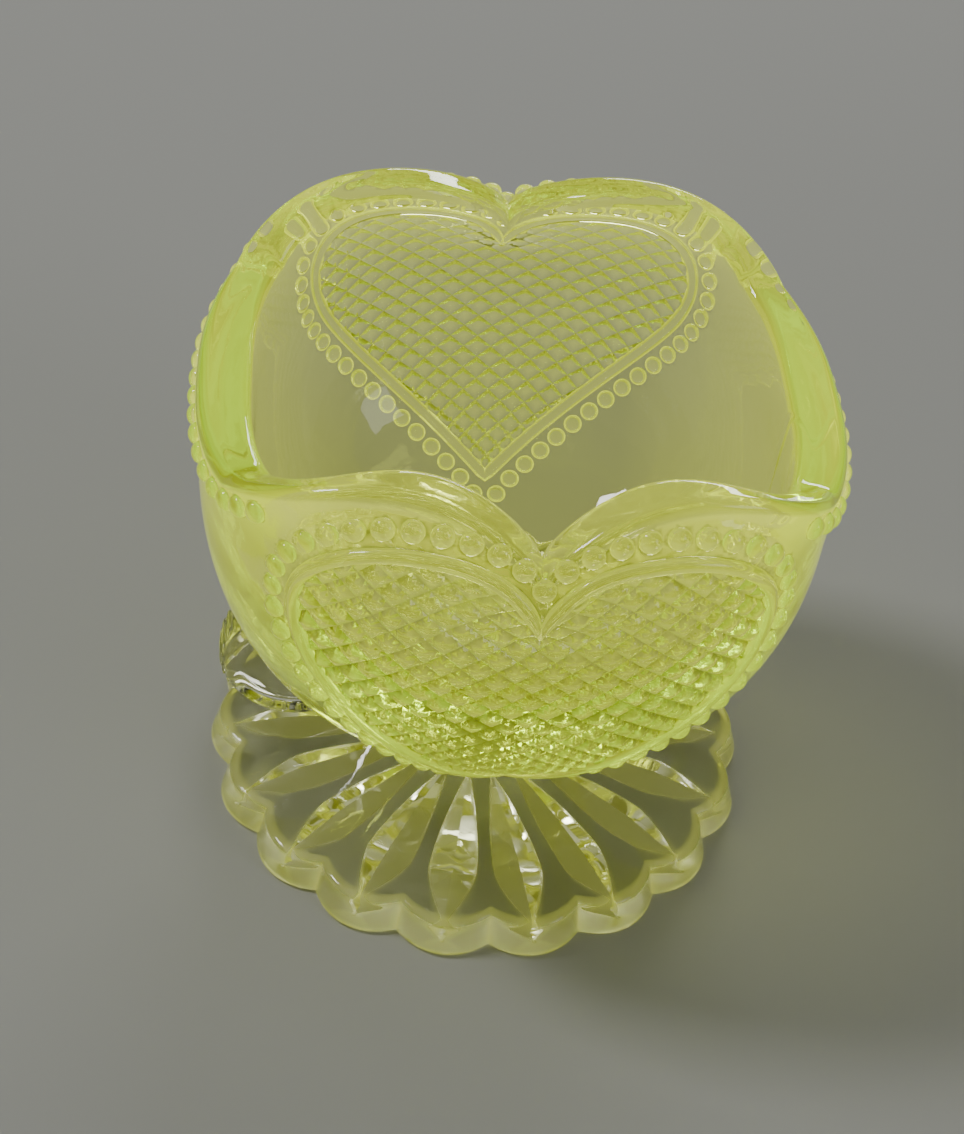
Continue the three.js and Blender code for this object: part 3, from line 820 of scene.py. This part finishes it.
def turned(profile, columns, centre=(0, 0, 0), across=False):
    """Points and faces of a closed turned shape; its profile runs from one pole to the other."""
    angle = np.arange(columns) * 2 * math.pi / columns
    (_, low), *rows, (_, high) = profile
    points = [(0, 0, low)]
    for r, z in rows:
        points += [(r * math.cos(a), r * math.sin(a), z) for a in angle]
    points.append((0, 0, high))
    points = np.array(points, dtype=float)
    if across:
        points = points[:, [0, 2, 1]] * (1, -1, 1)
    return points + np.array(centre), skin_faces(len(rows), columns, False)


# ---------------------------------------------------------------------------------------------
# Glass
# ---------------------------------------------------------------------------------------------

def pressed_glass(name, surface, depth, density, glow, even_painted_glow, edge_painted_glow, roughness):
    """Soda-lime glass pressed in an iron mould and fire-polished, with a painted glow as emission
    that follows the painted glow attribute.

    The mould leaves a slow ripple of about 7 mm and a fine skin of about 0.9 mm that soften the
    reflections. The resting ring at the bottom is worn dull.
    """
    material = bpy.data.materials.new(name)
    material.use_nodes = True
    tree = material.node_tree
    tree.nodes.clear()
    place = add_node(tree, "ShaderNodeTexCoord").outputs["Object"]
    ripple = add_node(tree, "ShaderNodeTexNoise",
                      {"Vector": place, "Scale": 1 / (7 * MM), "Detail": 2.0, "Roughness": 0.5})
    skin = add_node(tree, "ShaderNodeTexNoise",
                    {"Vector": place, "Scale": 1 / (0.9 * MM), "Detail": 3.0, "Roughness": 0.55})
    slow = add_node(tree, "ShaderNodeBump",
                    {"Strength": 0.35, "Distance": 0.25 * MM, "Height": ripple.outputs[0]})
    fine = add_node(tree, "ShaderNodeBump",
                    {"Strength": 0.2, "Distance": 0.02 * MM, "Height": skin.outputs[0],
                     "Normal": slow.outputs[0]})
    polish = add_node(tree, "ShaderNodeMapRange",
                      {"Value": ripple.outputs[0], "From Min": 0.35, "From Max": 0.7,
                       "To Min": roughness, "To Max": roughness + 0.03})
    split = add_node(tree, "ShaderNodeSeparateXYZ", {0: place})
    wear = add_node(tree, "ShaderNodeMapRange",
                    {"Value": split.outputs["Z"], "From Min": 0.02 * MM, "From Max": 0.3 * MM,
                     "To Min": 0.28, "To Max": 0.0})
    rough = add_node(tree, "ShaderNodeMath",
                     {0: polish.outputs[0], 1: wear.outputs[0]}, operation="MAXIMUM")
    # Painted glow: the emission strength rises from the even level to the edge level with the
    # painted glow attribute.
    painted_glow_share = add_node(tree, "ShaderNodeAttribute", attribute_name="glow")
    strength = add_node(tree, "ShaderNodeMapRange",
                        {"Value": painted_glow_share.outputs["Fac"], "To Min": even_painted_glow,
                         "To Max": even_painted_glow + edge_painted_glow})
    shader = add_node(tree, "ShaderNodeBsdfPrincipled",
                      {"Base Color": (*surface, 1), "Roughness": rough.outputs[0], "IOR": 1.52,
                       "Transmission Weight": 1.0, "Normal": fine.outputs[0],
                       "Emission Color": (*glow, 1), "Emission Strength": strength.outputs[0]})
    inside = add_node(tree, "ShaderNodeVolumeAbsorption",
                      {"Color": (*depth, 1), "Density": density})
    add_node(tree, "ShaderNodeOutputMaterial",
             {"Surface": shader.outputs[0], "Volume": inside.outputs[0]})
    return material


# ---------------------------------------------------------------------------------------------
# Operators
# ---------------------------------------------------------------------------------------------

CREASE = math.radians(33)


class GLASS_OT_bowl(bpy.types.Operator):
    """Make the bowl with its hearts, beads, diamonds and rim as one continuous skin"""

    bl_idname = "glass.add_bowl"
    bl_label = "Bowl"

    def execute(self, context):
        scene = context.scene
        bowl, relief, colours = scene.glass_bowl, scene.glass_relief, scene.glass_colours
        points, rows, outside_rows, columns = bowl_skin(bowl, relief)
        fields = relief_fields(bowl, relief, points, rows, outside_rows, columns)
        skin = mesh_object("bowl_plain", points, skin_faces(rows, columns, True), floats=fields)
        heart = mirrored(heart_half(relief))
        ridge = face_pair(on_front(bowl, heart), wall_normals(bowl, heart))
        border = mirrored(bead_half(bowl, relief))
        beads = face_pair(on_front(bowl, border), wall_normals(bowl, border))
        beads += side_rows(bowl, relief)
        # The bowl's glass carries a painted glow, strongest at its rim, side walls and raised
        # relief.
        glass = pressed_glass("uranium_glass_pressed_yellow_green", colours.bowl,
                              colours.bowl_depth, density=150.0, glow=colours.bowl_painted_glow,
                              even_painted_glow=0.004, edge_painted_glow=0.42, roughness=0.008)
        piece = run_tree(skin, relief_tree(), {
            "Bead Paths": path_object("bead_paths", beads),
            "Ridge Paths": path_object("ridge_paths", ridge, taper=relief.ridge_taper),
            "Crease Angle": CREASE,
            "Glass": glass,
            **size_values(relief, RELIEF_SIZES),
        }, "bowl_glass")
        finish_piece(piece, "bowl_glass", "bowl", "front_heart_ridge", "back_heart_ridge",
                     "front_bead_border", "back_bead_border", "front_diamond_field",
                     "back_diamond_field", "left_side_beads", "right_side_beads")
        return {"FINISHED"}


class GLASS_OT_stem(bpy.types.Operator):
    """Make the short waisted stem between the foot and the bowl"""

    bl_idname = "glass.add_stem"
    bl_label = "Stem"

    def execute(self, context):
        scene = context.scene
        foot, bowl, colours = scene.glass_foot, scene.glass_bowl, scene.glass_colours
        fuse = 0.05 * MM
        low, high = foot.edge + foot.dome - fuse, bowl.bottom + fuse
        profile = [(0, low), (foot.stem_radius * 0.5, low)]
        for share in np.linspace(0, 1, 15):
            r = foot.stem_radius - foot.stem_waist * math.sin(math.pi * share)
            profile.append((r, low + (high - low) * share))
        profile += [(foot.stem_radius * 0.5, high), (0, high)]
        piece = mesh_object("stem_glass", *turned(profile, 120))
        piece.data.shade_smooth()
        # The stem carries an even painted glow.
        glass = pressed_glass("uranium_glass_pressed_pale", colours.bowl, colours.foot_depth,
                              density=90.0, glow=colours.bowl_painted_glow, even_painted_glow=0.03,
                              edge_painted_glow=0.0, roughness=0.008)
        piece.data.materials.append(glass)
        finish_piece(piece, "foot_glass", "stem")
        return {"FINISHED"}


class GLASS_OT_foot(bpy.types.Operator):
    """Make the scalloped foot with its leaf-shaped grooves"""

    bl_idname = "glass.add_foot"
    bl_label = "Foot"

    def execute(self, context):
        foot, colours = context.scene.glass_foot, context.scene.glass_colours
        # The foot's glass carries a painted glow along its edge and beside its grooves.
        glass = pressed_glass("uranium_glass_pressed_faint", colours.foot, colours.foot_depth,
                              density=12.0, glow=colours.bowl_painted_glow, even_painted_glow=0.006,
                              edge_painted_glow=0.2, roughness=0.008)
        piece = run_tree(foot_skin(foot), foot_tree(), {
            "Crease Angle": CREASE,
            "Glass": glass,
            **size_values(foot, FOOT_SIZES),
        }, "foot_glass")
        finish_piece(piece, "foot_glass", "foot")
        return {"FINISHED"}


class GLASS_OT_knobs(bpy.types.Operator):
    """Make the two clear ribbed discs between the bowl and the foot"""

    bl_idname = "glass.add_knobs"
    bl_label = "Side knobs"

    def execute(self, context):
        scene = context.scene
        knob, bowl, foot, colours = (scene.glass_knob, scene.glass_bowl, scene.glass_foot,
                                     scene.glass_colours)
        glass = pressed_glass("clear_glass_pressed", colours.knob, colours.foot_depth,
                              density=12.0, glow=colours.bowl_painted_glow, even_painted_glow=0.0, edge_painted_glow=0.0,
                              roughness=0.015)
        tree = knob_tree()
        half, edge = knob.thickness / 2, knob.edge
        body = knob.radius - edge
        profile = [(0, -half), (body * 0.5, -half)]
        for a in np.linspace(-math.pi / 2, math.pi / 2, 15):
            shift = -(half - edge) if a < 0 else half - edge
            profile.append((body + edge * math.cos(a), shift + edge * math.sin(a)))
        profile += [(body * 0.5, half), (0, half)]
        levels = np.linspace(bowl.bottom - knob.gap, bowl.belly, 60)
        for side, name in ((-1, "left_knob"), (1, "right_knob")):
            centre = np.array([side * knob.centre, 0, knob.level])
            turn = np.linspace(0, 2 * math.pi, 241)
            ring = knob.radius - 0.18 * knob.rib_diameter
            path = centre + np.column_stack([ring * np.cos(turn), 0 * turn, ring * np.sin(turn)])
            outline = [(0, levels[0])]
            outline += [(float(outside_section(bowl, z, knob.gap)[0]), z) for z in levels]
            outline.append((0, levels[-1]))
            dome = [(0, -1 * MM)]
            dome += [(r + knob.gap, z + knob.gap) for r, z, _, _ in foot_rows(foot) if z > 0]
            dome.append((0, foot.edge + foot.dome + knob.gap))
            piece = run_tree(
                mesh_object("knob_plain", *turned(profile, 96, centre, across=True)), tree, {
                    "Rib Path": path_object("rib_path", [(path, path * 0)]),
                    "Bowl": mesh_object("bowl_cutter", *turned(outline, 180)),
                    "Foot": mesh_object("foot_cutter", *turned(dome, 180)),
                    "Rib Pitch": knob.rib_pitch,
                    "Rib Diameter": knob.rib_diameter,
                    "Rib Length": knob.thickness * 0.62,
                    "Crease Angle": CREASE,
                    "Glass": glass,
                }, f"{name}_glass")
            finish_piece(piece, "knob_glass", name)
        return {"FINISHED"}


class GLASS_OT_stage(bpy.types.Operator):
    """Make the pale floor, the soft lights and the camera"""

    bl_idname = "glass.add_stage"
    bl_label = "Stage"

    def execute(self, context):
        scene, colours = context.scene, context.scene.glass_colours
        low = -0.1 * MM
        floor = mesh_object("floor", [(-3, -3, low), (3, -3, low), (3, 3, low), (-3, 3, low)],
                            [(0, 1, 2, 3)])
        paint = bpy.data.materials.new("matt_paint_pale")
        paint.use_nodes = True
        shader = paint.node_tree.nodes["Principled BSDF"]
        grain = add_node(paint.node_tree, "ShaderNodeTexNoise", {"Scale": 40.0, "Detail": 4.0})
        tone = add_node(paint.node_tree, "ShaderNodeMix",
                        {0: grain.outputs[0], 6: (*(c * 0.97 for c in colours.floor), 1),
                         7: (*colours.floor, 1)}, data_type="RGBA")
        paint.node_tree.links.new(tone.outputs[2], shader.inputs["Base Color"])
        shader.inputs["Roughness"].default_value = 0.8
        floor.data.materials.append(paint)

        world = bpy.data.worlds.new("soft_room")
        world.use_nodes = True
        backdrop = world.node_tree.nodes["Background"]
        backdrop.inputs["Color"].default_value = (*colours.world, 1)
        # Dim at the level of the table and bright overhead, as under a lit ceiling.
        sky = add_node(world.node_tree, "ShaderNodeTexCoord")
        height = add_node(world.node_tree, "ShaderNodeSeparateXYZ", {0: sky.outputs["Generated"]})
        add_light = add_node(world.node_tree, "ShaderNodeMapRange",
                             {"Value": height.outputs["Z"], "From Min": 0.1, "From Max": 0.95,
                              "To Min": 0.03, "To Max": 0.5}, interpolation_type="SMOOTHSTEP")
        world.node_tree.links.new(add_light.outputs[0], backdrop.inputs["Strength"])
        scene.world = world
        middle = Vector((0, 0, 30 * MM))
        lamps = [
            ("key_softbox", (-0.55, 0.15, 0.75), 0.16, 0.22, 3.4),
            ("fill_softbox", (0.80, -0.55, 0.55), 0.40, 0.40, 1.3),
            ("rim_softbox", (0.25, 0.90, 0.30), 0.50, 0.14, 3.0),
        ]
        for name, place, wide, high, power in lamps:
            lamp = bpy.data.lights.new(name, "AREA")
            lamp.shape = "RECTANGLE"
            lamp.size, lamp.size_y, lamp.energy = wide, high, power
            holder = bpy.data.objects.new(name, lamp)
            holder.location = place
            holder.rotation_euler = (middle - Vector(place)).to_track_quat("-Z", "Y").to_euler()
            scene.collection.objects.link(holder)

        azimuth, elevation, roll = (math.radians(a) for a in (-7.8, 44.89, 7.09))
        distance, aim_aside, aim_level = 200 * MM, -1.59 * MM, 26.15 * MM
        right = Vector((math.cos(azimuth), math.sin(azimuth), 0))
        back = Vector((math.sin(azimuth) * math.cos(elevation),
                       -math.cos(azimuth) * math.cos(elevation), math.sin(elevation)))
        up = back.cross(right)
        axis_x = math.cos(roll) * right + math.sin(roll) * up
        axis_y = -math.sin(roll) * right + math.cos(roll) * up
        place = right * aim_aside + Vector((0, 0, aim_level)) + back * distance
        lens = bpy.data.cameras.new("camera")
        lens.sensor_width = 36
        lens.lens = 63.95
        lens.clip_start = 10 * MM
        camera = bpy.data.objects.new("camera", lens)
        camera.matrix_world = Matrix.Translation(place) @ Matrix(
            (axis_x, axis_y, back)).transposed().to_4x4()
        scene.collection.objects.link(camera)
        scene.camera = camera
        return {"FINISHED"}


class GLASS_PT_pieces(bpy.types.Panel):
    """Lists the pieces of the vessel"""

    bl_label = "Uranium Glass Vessel"
    bl_idname = "GLASS_PT_pieces"
    bl_space_type = "VIEW_3D"
    bl_region_type = "UI"
    bl_category = "Glass"

    def draw(self, context):
        for operator in OPERATORS:
            self.layout.operator(operator.bl_idname)


GROUPS = {
    "glass_bowl": GLASS_PG_bowl,
    "glass_relief": GLASS_PG_relief,
    "glass_foot": GLASS_PG_foot,
    "glass_knob": GLASS_PG_knob,
    "glass_colours": GLASS_PG_colours,
}
OPERATORS = (GLASS_OT_stage, GLASS_OT_foot, GLASS_OT_stem, GLASS_OT_bowl, GLASS_OT_knobs)
CLASSES = (*GROUPS.values(), *OPERATORS, GLASS_PT_pieces)


def register():
    """Registers every class and puts the sizes on the scene."""
    for item in CLASSES:
        bpy.utils.register_class(item)
    for name, group in GROUPS.items():
        setattr(bpy.types.Scene, name, PointerProperty(type=group))


def unregister():
    """Takes the sizes and every class away again."""
    for name in GROUPS:
        delattr(bpy.types.Scene, name)
    for item in reversed(CLASSES):
        bpy.utils.unregister_class(item)


def main():
    """Makes every piece in order."""
    register()
    bpy.ops.glass.add_stage()
    bpy.ops.glass.add_foot()
    bpy.ops.glass.add_stem()
    bpy.ops.glass.add_bowl()
    bpy.ops.glass.add_knobs()


if __name__ == "__main__":
    main()
